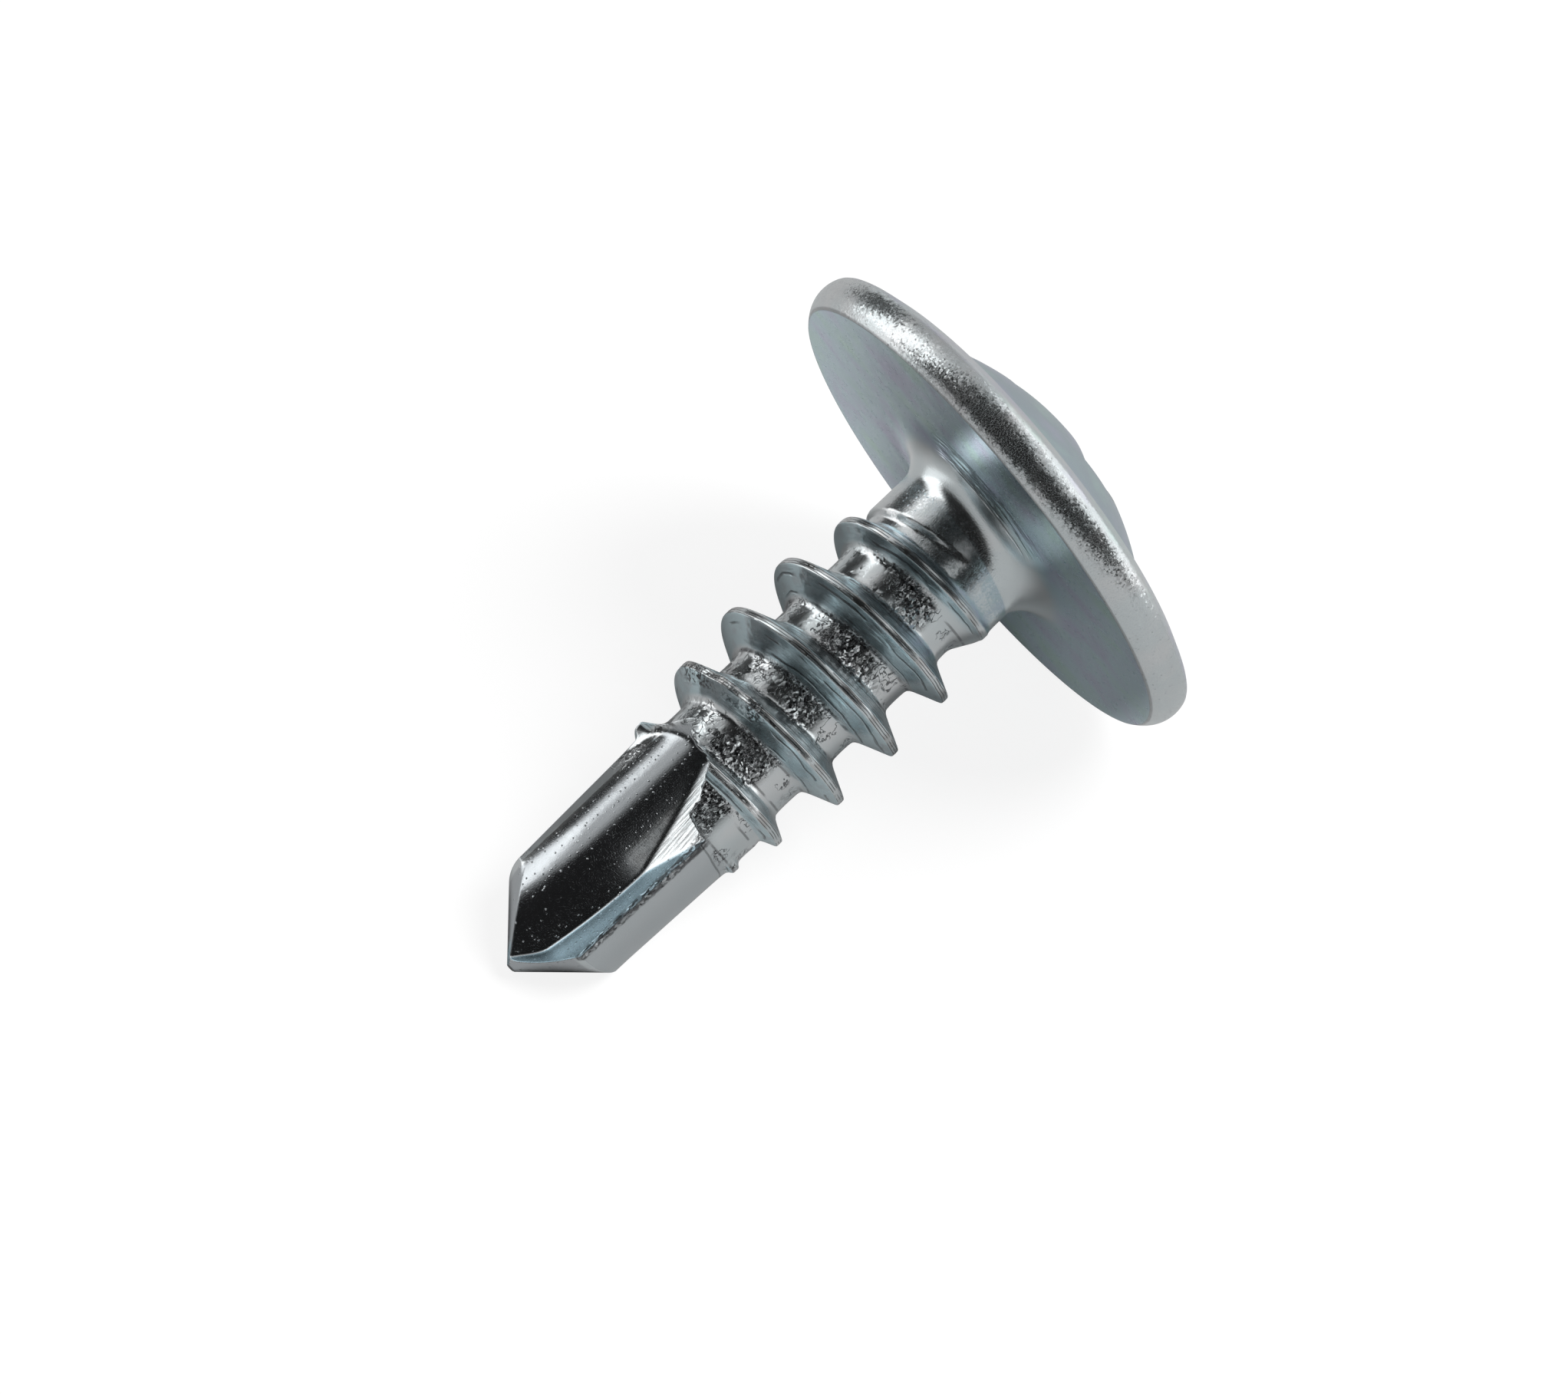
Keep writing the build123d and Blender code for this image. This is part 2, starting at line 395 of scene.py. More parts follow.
# drill point: half angles of the two wings, how their flanks fall away, and the flute's section
# low down and where it is full
point = {
    "apex": -12.85, "nearAngle": 40.7, "farAngle": 38.2, "relief": 14.0, "reliefTowards": 13.0,
    "coneLines": (0.004, 0.05, 0.12, 0.25, 0.45, 0.7, 1.0, 1.4, 1.9, 2.5, 3.5, 22.0), "coneSides": 160,
    "heel": ((-0.45, -1.60), (-0.14, -1.52)),
    "floorLow": ((-0.26, -1.10), (0.38, -1.16)),
    "floorHigh": ((-0.14, -0.70), (0.72, -0.66)),
    "floorMid": ((-0.08, -0.30), (0.81, -0.10)),
    "crease": ((-0.06, 0.00), (0.75, 0.42)),
    "full": -9.80, "low": -13.10, "top": -6.40, "fullness": 1.8, "rows": (40, 90), "floorSteps": 12,
    "edge": (1.32, 0.83), "edgeTurn": 32.5, "back": (-0.55, -1.0), "side": (4.0, -3.0),
    "rampAcross": (0.45, 0.9),         # direction in plan across the flute, towards its ramp
    # near the tip the crease bends over: from here, over this run, by so much at floorMid and crease
    "bendFrom": -12.0, "bendRun": 0.9, "bend": (-0.22, -0.35),
    # places on the rake face, from the crease outwards
    "faceLines": (.03, .06, .10, .15, .22, .30, .38, .46, .55, .65, .80, 1.0, 1.4, 3.0),
}

# surfaces that close the upper end of a flute: a point, the way it faces, how softly it meets the floor
closing = {
    "wall": ((0.60, -0.91, -7.29), (0.685, -0.287, -0.670), 0.055),
    "ramp": ((0.75, 0.42, -9.80), (0.833, -0.523, -0.180), 0.018),
    "towards": (0.922, -0.386, 0),
}

# edge of the body that hangs over the flute, in Y and Z, and the slope of the side under it
overhang = {
    "edge": ((3.0, -8.30), (0.85, -8.30), (0.20, -8.14), (0.14, -7.80), (-0.25, -7.14), (-0.90, -7.05),
             (-1.00, -6.93), (-1.00, -5.50), (3.0, -5.50)),
    "slope": 10.5, "step": 0.03, "most": 40, "depth": 0.06, "rows": 36, "far": 4.0,
    "ragged": 0.05, "raggedBelow": -6.0, "raggedWithin": 2.0, "coarse": 0.22, "fine": 0.09, "fineShare": 0.6,
}


def wingCone(turn, halfAngle):
    slope = math.tan(math.radians(halfAngle))
    cone = ringStack("wingCone", [circle(z * slope, z, point["coneSides"]) for z in point["coneLines"]])
    lean = Matrix.Rotation(math.radians(point["reliefTowards"]), 4, "Z")
    lean = lean @ Matrix.Rotation(math.radians(point["relief"]), 4, "Y")
    lift = Matrix.Translation((0, 0, point["apex"]))
    cone.data.transform(Matrix.Rotation(math.radians(turn), 4, "Z") @ lift @ lean)
    return cone


def splineThrough(points, steps):
    # smooth curve through the points (Catmull-Rom with mirrored ends)
    ends = [2 * Vector(points[0]) - Vector(points[1])] + [Vector(p) for p in points]
    ends.append(2 * Vector(points[-1]) - Vector(points[-2]))
    made = []
    for k in range(1, len(ends) - 2):
        p0, p1, p2, p3 = ends[k - 1:k + 3]
        for i in range(steps):
            t = i / steps
            made.append(0.5 * ((2 * p1) + (p2 - p0) * t + (2 * p0 - 5 * p1 + 4 * p2 - p3) * t * t
                               + (3 * p1 - p0 - 3 * p2 + p3) * t**3))
    return made + [ends[-2]]


def closedBy(spot, name):
    # how far the point lies inside the closing surface
    at, normal, _ = closing[name]
    normal = Vector(normal)
    return -(spot - Vector(at)).dot(normal) / Vector(closing["towards"]).dot(normal)


def fluteRing(z):
    share = clamp01((z - point["low"]) / (point["full"] - point["low"]))
    share = 1 - (1 - share) ** point["fullness"]
    names = ("heel", "floorLow", "floorHigh", "floorMid", "crease")
    knots = [Vector(point[n][0]).lerp(Vector(point[n][1]), share) for n in names]
    bent = smooth((point["bendFrom"] - z) / point["bendRun"])
    for knot, bend in zip(knots[3:], point["bend"]):
        knot.y += bend * bent
    floor = splineThrough(knots, point["floorSteps"])
    along = (Vector(point["edge"]) - knots[-1]).normalized()
    face = [knots[-1] + along * t for t in point["faceLines"]]
    section = softened([(q.x, q.y) for q in floor + face])
    back = knots[0] + Vector(point["back"])
    ring = []
    for x, y in section + [point["side"], (back.x, back.y)]:
        spot = Vector((x, y, z))
        lift = roundMax(closedBy(spot, "wall"), 0, closing["wall"][2])
        lift = roundMax(closedBy(spot, "ramp"), lift, closing["ramp"][2])
        ring.append(spot + Vector(closing["towards"]) * lift)
    return ring


def makeOverhang():
    outline = []
    corners = overhang["edge"]
    for a, b in zip(corners, corners[1:] + corners[:1]):
        count = max(1, round((Vector(b) - Vector(a)).length / overhang["step"]))
        outline += line(a, b, min(count, overhang["most"]))[:-1]
    slope = math.radians(overhang["slope"])
    out = Vector((math.cos(slope), 0, -math.sin(slope)))
    rings = []
    for t in [overhang["depth"] * i for i in range(overhang["rows"])] + [overhang["far"]]:
        ring = []
        for y, z in outline:
            spot = Vector((0, y, z)) + out * t
            loose = y < overhang["raggedWithin"] and z < overhang["raggedBelow"]
            rough = overhang["ragged"] if loose else 0
            coarse, fine = overhang["coarse"], overhang["fine"]
            push = Vector((0, wander(spot, coarse, 3.0), wander(spot, coarse, 9.0)))
            push += Vector((0, wander(spot, fine, 5.0), wander(spot, fine, 2.0))) * overhang["fineShare"]
            ring.append(spot + push * rough)
        rings.append(ring)
    prism = ringStack("overhang", rings)
    recalc(prism)
    return prism


def makeFlute():
    low, full, top = point["low"], point["full"], point["top"]
    below, above = point["rows"]
    heights = [lerp(low, full, i / below) for i in range(below)]
    heights += [lerp(full, top, i / above) for i in range(above + 1)]
    flute = ringStack("flute", [fluteRing(z) for z in heights])
    recalc(flute)
    return combine(flute, makeOverhang(), "DIFFERENCE")


def makeScrew():
    verts, faces, bottom, top = makeShankRings()
    columns = shank["columns"]
    print("  shank rows", len(verts))

    def addRing(ring, last, down=False):
        now = list(range(len(verts), len(verts) + columns))
        verts.extend(ring)
        low, high = (now, last) if down else (last, now)
        for j in range(columns):
            k = (j + 1) % columns
            faces.append((low[j], low[k], high[k], high[j]))
        return now

    def closeRing(ring, centre, down=False):
        tip = len(verts)
        verts.append(centre)
        for j in range(columns):
            k = (j + 1) % columns
            faces.append((ring[k], ring[j], tip) if down else (ring[j], ring[k], tip))

    # down to the blunt end
    last = bottom
    start = verts[bottom[0]].z
    rows = shank["bodyRows"]
    for i in range(1, rows + 1):
        z = lerp(start, shank["blunt"], i / rows)
        last = addRing([shankPoint(j / columns, z) for j in range(columns)], last, True)
    closeRing(last, Vector((0, 0, shank["blunt"])), True)

    # up through the neck fillet, under the head, round the rim and over the crown
    last = top
    fillet = filletRows(columns, head["filletRows"])
    for ring in fillet:
        last = addRing(ring, last)
    place = headMatrix()
    profile = headProfile()

    def headRing(r, z):
        angles = [math.radians(180 + 360 * j / columns) for j in range(columns)]
        return [place @ Vector((r * math.cos(a), r * math.sin(a), z)) for a in angles]

    edge = headRing(*profile[0])
    rows = head["underRows"]
    for i in range(1, rows):
        last = addRing([a.lerp(b, i / rows) for a, b in zip(fillet[-1], edge)], last)
    for r, z in profile:
        last = addRing(headRing(r, z), last)
    closeRing(last, place @ Vector((0, 0, head["crown"])))

    screw = meshObject("screwBody", verts, faces)
    print("  body", len(screw.data.polygons))
    wings = combine(wingCone(0, point["nearAngle"]), wingCone(180, point["farAngle"]), "UNION")
    screw = combine(screw, wings, "INTERSECT")
    print("  point", len(screw.data.polygons))
    for turn in (0, 180):
        flute = makeFlute()
        flute.data.transform(Matrix.Rotation(math.radians(turn), 4, "Z"))
        screw = combine(screw, flute, "DIFFERENCE")
    print("  flutes", len(screw.data.polygons))
    screw = combine(screw, makeRecess(), "DIFFERENCE")
    screw.data.transform(restMatrix())
    screw.data.shade_smooth()
    screw.data.set_sharp_from_angle(angle=math.radians(32))
    triangles = sum(len(p.vertices) - 2 for p in screw.data.polygons)
    print("  triangles", triangles)
    return screw


class Wire:
    # one socket, so that sums of masks read as sums
    def __init__(self, tree, socket):
        self.tree = tree
        self.socket = socket

    def maths(self, kind, *others):
        return self.tree.node("ShaderNodeMath", {"operation": kind}, dict(enumerate((self, *others))))

    def step(self, end, full):
        # 0 at the first value and 1 at the second, smooth between them
        return self.tree.node(
            "ShaderNodeMapRange", {"interpolation_type": "SMOOTHSTEP"},
            {"Value": self, "From Min": end, "From Max": full},
        )

    def beside(self, *names):
        # other outputs of the same node
        return [Wire(self.tree, self.socket.node.outputs[name]) for name in names]

    def __add__(self, other):
        return self.maths("ADD", other)

    def __sub__(self, other):
        return self.maths("SUBTRACT", other)

    def __rsub__(self, other):
        return self.tree.node("ShaderNodeMath", {"operation": "SUBTRACT"}, {0: other, 1: self})

    def __mul__(self, other):
        return self.maths("MULTIPLY", other)

    def __truediv__(self, other):
        return self.maths("DIVIDE", other)

    __radd__ = __add__
    __rmul__ = __mul__


class NodeTree:
    def __init__(self, owner):
        owner.use_nodes = True
        self.tree = owner.node_tree
        self.tree.nodes.clear()

    def node(self, kind, settings=None, sockets=None, output=0):
        made = self.tree.nodes.new(kind)
        for key, value in (settings or {}).items():
            setattr(made, key, value)
        for key, value in (sockets or {}).items():
            if isinstance(value, Wire):
                self.tree.links.new(value.socket, made.inputs[key])
            else:
                made.inputs[key].default_value = value
        return Wire(self, made.outputs[output]) if made.outputs else None


def axes(tree, vector):
    return tree.node("ShaderNodeSeparateXYZ", {}, {0: vector}).beside("X", "Y", "Z")


def joined(tree, x, y, z):
    return tree.node("ShaderNodeCombineXYZ", {}, {0: x, 1: y, 2: z})


def vectorMath(tree, kind, first, second, output="Vector"):
    return tree.node("ShaderNodeVectorMath", {"operation": kind}, {0: first, 1: second}, output)


def scaled(tree, vector, scale):
    return tree.node("ShaderNodeVectorMath", {"operation": "SCALE"}, {0: vector, "Scale": scale})


def mixColour(tree, share, first, second):
    return tree.node("ShaderNodeMix", {"data_type": "RGBA"}, {0: share, 6: first, 7: second}, 2)


def noiseAt(tree, vector, size, detail, seed):
    # smooth noise around zero, mostly -0.25 to 0.25, with patches of the given size
    return tree.node("ShaderNodeTexNoise", {"noise_dimensions": "4D"}, {
        "Vector": vector, "W": seed, "Scale": 1 / size, "Detail": detail}) - 0.5


# soft limits of each region of the screw: a measure, its value where the region has ended and its
# value where the region is full. z, y, radius and offLip are in mm, side in degrees round the shank;
# up, out, toX, toY and headUp say how squarely a surface faces that way, from -1 to 1
regions = {
    "threaded": (("z", -8.75, -8.45), ("z", -1.60, -1.75)),
    "ridge": (("radius", 1.44, 1.56),),
    "crest": (("out", 0.70, 0.92), ("radius", 1.60, 1.68)),
    "tipFlank": (("up", -0.45, -0.70),),
    "headFlank": (("up", 0.45, 0.70),),
    "flankFront": (("side", -25, 5), ("side", 95, 60)),
    "root": (("radius", 1.50, 1.40),),
    "rootMiddle": (("side", -22, 4), ("side", 34, 22)),
    "rootLeft": (("side", 30, -10),),
    "chipped": (
        ("z", -6.75, -6.55), ("z", -5.90, -6.05), ("radius", 1.64, 1.76), ("side", -88, -72),
        ("side", 2, -14),
    ),
    "shoulder": (("radius", 1.46, 1.50), ("out", 0.75, 0.90), ("z", -8.65, -8.50), ("z", -7.50, -7.70)),
    "drill": (("z", -8.3, -8.6),),
    "land": (("radius", 1.33, 1.36), ("out", 0.70, 0.85)),
    "ringed": (("radius", 1.38, 1.42),),
    "inFlute": (("radius", 1.33, 1.26),),
    "ramp": (("acrossFlute", 0.20, 0.30), ("z", -9.9, -9.6), ("toX", 0.70, 0.80)),
    "rake": (("toY", -0.60, -0.75), ("y", -0.45, -0.25)),
    "edge": (("cutter", 0.985, 0.996), ("radius", 1.28, 1.38), ("z", -8.4, -8.6)),
    "neck": (("z", -1.85, -1.70),),
    "headTop": (("z", -0.80, -0.45),),
    "headFoot": (("radius", 1.9, 2.3), ("z", -1.4, -1.2)),
    "under": (("headUp", -0.90, -0.985),),
    "lip": (("offLip", 0.045, 0.012), ("headUp", -0.50, -0.70)),
    "collar": (
        ("headUp", -0.40, -0.70), ("radius", 2.10, 2.20), ("radius", 2.90, 2.60), ("side", -50, -30),
        ("side", 35, 5),
    ),
    "rim": (("radius", 4.3, 4.9),),
    "crown": (("headUp", 0.3, 0.6),),
    "dome": (("radius", 4.9, 4.2),),
}


class Places:
    # measures and masks by name
    def __init__(self, found):
        for name, wire in found.items():
            setattr(self, name, wire)


def screwPlaces(tree):
    # where a point is on the upright screw, in mm, and how far it belongs to each region
    rested = restMatrix()
    spot = tree.node("ShaderNodeMapping", {"vector_type": "TEXTURE"}, {
        "Vector": tree.node("ShaderNodeTexCoord", output="Object"),
        "Location": rested.to_translation(), "Rotation": rested.to_euler(), "Scale": (0.001, 0.001, 0.001),
    })
    x, y, z = axes(tree, spot)
    radius = (x * x + y * y).maths("SQRT")
    angle = y.maths("ARCTAN2", x)
    normal = tree.node("ShaderNodeNewGeometry", output="Normal")
    turned = rested.to_3x3().normalized()
    toX, toY, up = (vectorMath(tree, "DOT_PRODUCT", normal, turned.col[k], "Value") for k in range(3))
    tipped = headMatrix().to_3x3().col[2]
    middle = headMatrix().to_translation()
    besideX, besideY = x - middle.x, y - middle.y
    offAxis = (besideX * besideX + besideY * besideY).maths("SQRT")
    sway = angle.maths("SINE") * thread["wobble"]
    turns = (z - thread["crestZero"] - sway) / thread["pitch"] - angle / (2 * math.pi)
    acrossX, acrossY = point["rampAcross"]
    found = {
        "spot": spot, "x": x, "y": y, "z": z, "radius": radius, "angle": angle,
        "side": angle * (180 / math.pi), "toX": toX, "toY": toY, "up": up,
        "out": (toX * x + toY * y) / radius,
        "headUp": toX * tipped.x + toY * tipped.y + up * tipped.z,
        "offLip": (offAxis - head["bearing"]).maths("ABSOLUTE"),
        # distance from the nearest crest, and across the flute towards its ramp
        "across": ((turns + 0.5).maths("FRACT") - 0.5) * thread["pitch"],
        "acrossFlute": x * acrossX + y * acrossY,
        # 1 at both cutting edges
        "cutter": ((angle - math.radians(point["edgeTurn"])) * 2).maths("COSINE"),
    }
    for name, limits in regions.items():
        parts = [found[measure].step(end, full) for measure, end, full in limits]
        found[name] = math.prod(parts[1:], start=parts[0])

    onHead = (found["headTop"] + found["headFoot"]).maths("MINIMUM", 1.0)
    found["onHead"] = onHead
    found["ridge"] = found["ridge"] * found["threaded"]
    for name in ("crest", "tipFlank", "headFlank"):
        found[name] = found[name] * found["ridge"]
    for name in ("under", "lip", "collar", "crown"):
        found[name] = found[name] * onHead
    for name in ("inFlute", "neck"):
        found[name] = found[name] * (1 - onHead)
    found["flank"] = found["tipFlank"] + found["headFlank"]
    found["rim"] = found["rim"] * (1 - found["under"]) * onHead
    found["root"] = found["root"] * found["threaded"] * (1 - found["inFlute"])
    found["ramp"] = found["ramp"] * found["inFlute"]
    found["land"] = found["land"] * found["drill"]
    found["rake"] = found["rake"] * found["drill"] * (1 - found["land"])
    return Places(found)


zinc = {
    "roughness": 0.19,
    "edge": 0.00006,         # how far the light runs round sharp edges, in metres
    "plain": (0.68, 0.735, 0.75, 1), "pale": (0.74, 0.76, 0.77, 1), "teal": (0.585, 0.715, 0.755, 1),
    "forged": (0.50, 0.53, 0.55, 1), "rake": (0.44, 0.60, 0.68, 1), "under": (0.60, 0.76, 0.84, 1),
    "crown": (0.45, 0.54, 0.59, 1), "land": (0.55, 0.59, 0.61, 1), "green": (0.56, 0.79, 0.70, 1),
    # the near black below serves dark marks and painted shade alike
    "violet": (0.62, 0.59, 0.79, 1), "rust": (0.30, 0.26, 0.235, 1), "marksAndPaintedShade": (0.09, 0.09, 0.095, 1),
}

# noise: size of its patches in mm, detail, seed, and strength, in mm where it is relief
waves = {
    "grain": (0.035, 3, 0.0, 0.0012), "ripple": (0.9, 2, 3.1, 0.006), "rolled": (1.0, 4, 4.0, 0.005),
    "striae": (0.9, 2, 6.0, 0.006), "drawn": (1.0, 2, 9.0, 0.002), "sidle": (0.9, 2, 31.0, 0.10),
    # one of these moves the edge of the painted shade on the tip-facing flanks, by degrees round the shank
    "ring": (0.8, 2, 27.0, 0.16), "paintedFlankShade": (0.25, 4, 61.0, 26), "rough": (0.12, 2, 51.0, 0.10),
    "torn": (0.55, 3, 11.0, 1), "seams": (1.1, 2, 91.0, 1), "arcs": (1.0, 2, 15.0, 1),
    "film": (1.0, 3, 41.0, 1),
}

# how much finer a noise or a flake is than that along each of its three directions
finer = {
    "crumbs": (1, 1, 0.8), "rolled": (0.8, 0.8, 16), "burr": (1, 1, 0.6), "striae": (1, 0.9, 0.4),
    "drawn": (14, 14, 1.2), "arcs": (7, 1.6, 0), "film": (1, 0.8, 1.2),
}

# patches: size in mm, detail, seed, and the noise where they end and where they are full
patches = {
    "cracked": (0.6, 1, 21.0, 0.0, 0.06), "lapped": (0.30, 2, 2.0, -0.14, 0.0),
    # one of these breaks up the painted shade along the foot of the thread
    "worn": (0.45, 3, 71.0, -0.08, 0.12), "footShadePatches": (0.5, 2, 81.0, -0.08, 0.04),
    "pale": (0.9, 2, 43.0, -0.12, 0.20), "mottled": (0.28, 3, 73.0, 0.0, 0.14),
    "rusty": (0.5, 2, 47.0, -0.02, 0.10),
}

# torn places: what the middle of the root adds to the noise, and the noise where they end and are full
tears = {
    "root": (0.30, 0.02, 0.30), "shoulder": (0.25, 0.02, 0.25), "chipped": (0, -0.10, 0.10),
    "plates": (0, -0.12, 0.10),
}

# flakes: size in mm, how loosely they lie and how far they tip
flakes = {
    "crumbs": (0.050, 0.5, 0.60), "plates": (0.13, 0.8, 0.26), "scuffs": (0.5, 0.8, 0.035),
    "burr": (0.055, 0.8, 0.80), "pepper": (0.042, 0.5, 0.16),
}

# dark flakes: the random share where they start and where they are full, and their darkness
darkFlakes = {"crumbs": (0.55, 0.62, 0.80), "plates": (0.66, 0.72, 0.35), "burr": (0.40, 0.55, 0.50)}

# how strongly something shows in each region
amounts = {
    "grain": {"onHead": 0.8, "inFlute": -0.3}, "ripple": {"under": 2.0},
    "rolled": {"flank": 1, "crest": 1.6}, "dots": {"inFlute": 1, "rim": 0.5, "neck": 0.3},
    "pepper": {"rim": 1, "neck": 0.35, "inFlute": 0.12, "land": 0.25},
    "teal": {"tipFlank": 1, "headFlank": 0.4}, "film": {"under": 0.75, "crown": 0.35},
    "rough": {
        "under": 0.07, "flank": 0.06, "land": 0.13, "rim": 0.04, "crown": 0.12, "rake": 0.10,
        "inFlute": -0.02,
    },
}

# thin lines: the offset from them where they end and where they are full, depth in mm, darkness
thinLines = {
    "cracks": (0.050, 0.012, 0.014, 0.85), "laps": (0.55, 0.15, 0.010, 0.85),
    "seams": (0.32, 0.08, 0.014, 0.65), "ring": (0.022, 0.006, 0.014, 0.50),
    # the last line, at the foot of the thread, is painted shade in the crease there, colour only
    "arcs": (0.08, 0.01, 0.045, 0.60), "foot": (0.035, 0.010, 0.0, 0.60),
}

# other marks
marks = {
    "lapRate": 56, "seamRate": 19,            # pi times the lines in a mm
    "seamSidle": 1.5, "seamFront": 0.12, "seamed": (0.04, 0.10),
    "crackCells": 2.2, "crackBend": 5.0,      # cells and bends in a mm
    "ringHeight": -8.62, "footOffset": 0.41, "footSidle": 0.3, "striaeAcross": (6.0, 9.5),
    "dotSize": 0.075, "dotEdge": (0.34, 0.05), "dotShare": (0.66, 0.95), "dotHeight": 0.010,
    # next: where the painted shade on the flanks that face the tip starts and ends round the shank, and how
    # dark it is
    "paintedFlankShadeStart": (-62, -54), "paintedFlankShadeEnd": (-5, -42),      # degrees round the shank
    "dotDark": 0.8, "edgeDark": 0.35, "paintedFlankShadeDark": 0.72, "lipDark": 0.55,
}

# how far some colours cover, and the film where its two colours end and are full
covers = {
    "mottled": 0.45, "land": 0.8, "rust": 0.4, "marksAndPaintedShade": 0.95, "green": (-0.02, 0.20),
    "violet": (0.02, -0.20),
}


def wave(tree, name, vector):
    size, detail, seed, strength = waves[name]
    return noiseAt(tree, vector, size, detail, seed) * strength


def patch(tree, name, vector):
    size, detail, seed, end, full = patches[name]
    return noiseAt(tree, vector, size, detail, seed).step(end, full)


def stretched(tree, name, *measures):
    return joined(tree, *(measure * share for measure, share in zip(measures, finer[name])))


def amount(at, name):
    return sum(getattr(at, region) * share for region, share in amounts[name].items())


def darkness(name, share):
    start, full, dark = darkFlakes[name]
    return share.step(start, full) * dark


def flake(tree, name, vector):
    # small plates, each tipped its own way: their height and a random share for each
    size, loose, tip = flakes[name]
    shift = tree.node("ShaderNodeTexNoise", {}, {
        "Vector": vector, "Scale": 0.7 / size, "Detail": 1.0}, "Color")
    vector = vectorMath(tree, "ADD", vector, scaled(tree, shift, size * loose * 1.6))
    cell = tree.node("ShaderNodeTexVoronoi", {"feature": "F1"}, {"Vector": vector, "Scale": 1 / size})
    colour, middle = cell.beside("Color", "Position")
    lean = vectorMath(tree, "SUBTRACT", colour, (0.5, 0.5, 0.5))
    height = vectorMath(tree, "DOT_PRODUCT", vectorMath(tree, "SUBTRACT", vector, middle), lean, "Value")
    return height * tip, axes(tree, colour)[0]


def zincRelief(tree, at):
    # returns the height in mm, and how much the surface is darkened, by real marks and by painted shade on
    # the tip-facing flanks and along the foot of the thread
    spot, x, y, z = at.spot, at.x, at.y, at.z
    height = wave(tree, "grain", spot) * (1 + amount(at, "grain"))
    height = height + wave(tree, "ripple", spot) * (1 + amount(at, "ripple"))

    # torn root of the thread: crumbs in the middle, plates to the left
    torn = wave(tree, "torn", spot)

    def tear(name):
        middle, end, full = tears[name]
        return (torn + at.rootMiddle * middle).step(end, full)

    crumbled = at.root * tear("root") + at.shoulder * tear("shoulder") + at.chipped * tear("chipped")
    plated = at.root * at.rootLeft * tear("plates")
    crumb, crumbShare = flake(tree, "crumbs", stretched(tree, "crumbs", x, y, z))
    plate, plateShare = flake(tree, "plates", spot)
    height = height + crumb * crumbled + plate * (plated + at.chipped)
    marksAndPaintedShade = crumbled * darkness("crumbs", crumbShare) + plated * darkness("plates", plateShare)

    # rolling marks and scuffs along the flanks
    rolled = stretched(tree, "rolled", x, y, at.across)
    height = height + wave(tree, "rolled", rolled) * amount(at, "rolled")
    scuff, _ = flake(tree, "scuffs", rolled)
    height = height + scuff * at.flank * patch(tree, "worn", spot)

    # forged flute: small dots, striae down the ramp, a burr along the cutting edge
    cells = tree.node("ShaderNodeTexVoronoi", {"feature": "F1"}, {
        "Vector": spot, "Scale": 1 / marks["dotSize"]})
    away, share = cells.beside("Distance", "Color")
    dots = away.step(*marks["dotEdge"]) * axes(tree, share)[0].step(*marks["dotShare"])
    dots = dots * amount(at, "dots")
    height = height + dots * marks["dotHeight"] * (1 - at.ramp)
    alongX, alongY = marks["striaeAcross"]
    ramped = stretched(tree, "striae", x * alongX + y * alongY, z, y)
    height = height + wave(tree, "striae", ramped) * at.ramp
    bite, biteShare = flake(tree, "burr", stretched(tree, "burr", x, y, z))
    height = height + bite * at.edge
    marksAndPaintedShade = marksAndPaintedShade + dots * at.rim * marks["dotDark"]
    marksAndPaintedShade = marksAndPaintedShade + at.edge * (marks["edgeDark"] + darkness("burr", biteShare))

    # draw lines on the drill body, fine pepper on the rim and the neck
    height = height + wave(tree, "drawn", stretched(tree, "drawn", x, y, z)) * at.land
    pepper, _ = flake(tree, "pepper", spot)
    height = height + pepper * amount(at, "pepper")

    # cracks in the root, laps along the crest, seams along the flanks, a ring round the drill body,
    # laps round the foot of the neck and painted shade in the crease along the foot of the thread
    bend = tree.node("ShaderNodeTexNoise", {}, {"Vector": spot, "Scale": marks["crackBend"]}, "Color")
    crack = tree.node("ShaderNodeTexVoronoi", {"feature": "DISTANCE_TO_EDGE"}, {
        "Vector": vectorMath(tree, "ADD", spot, bend), "Scale": marks["crackCells"]})
    sidle = wave(tree, "sidle", spot)
    lap = ((at.across + sidle) * marks["lapRate"]).maths("SINE")
    seam = ((at.across + sidle * marks["seamSidle"]) * marks["seamRate"]).maths("SINE")
    seamed = (wave(tree, "seams", spot) + at.flankFront * marks["seamFront"]).step(*marks["seamed"])
    ring = z - marks["ringHeight"] + wave(tree, "ring", spot)
    arc = wave(tree, "arcs", stretched(tree, "arcs", at.radius, at.angle, 0))
    foot = at.across.maths("ABSOLUTE") - marks["footOffset"] + sidle * marks["footSidle"]
    drawn = (
        ("cracks", crack, (at.root + at.shoulder) * patch(tree, "cracked", spot)),
        ("laps", lap, at.crest * patch(tree, "lapped", spot)),
        ("seams", seam, at.flank * seamed),
        ("ring", ring, at.land * at.ringed),
        ("arcs", arc, at.collar),
        ("foot", foot, at.threaded * (1 - at.inFlute) * patch(tree, "footShadePatches", spot)),
    )
    for name, offset, where in drawn:
        end, full, depth, dark = thinLines[name]
        mark = offset.maths("ABSOLUTE").step(end, full) * where
        height = height - mark * depth
        marksAndPaintedShade = marksAndPaintedShade + mark * dark

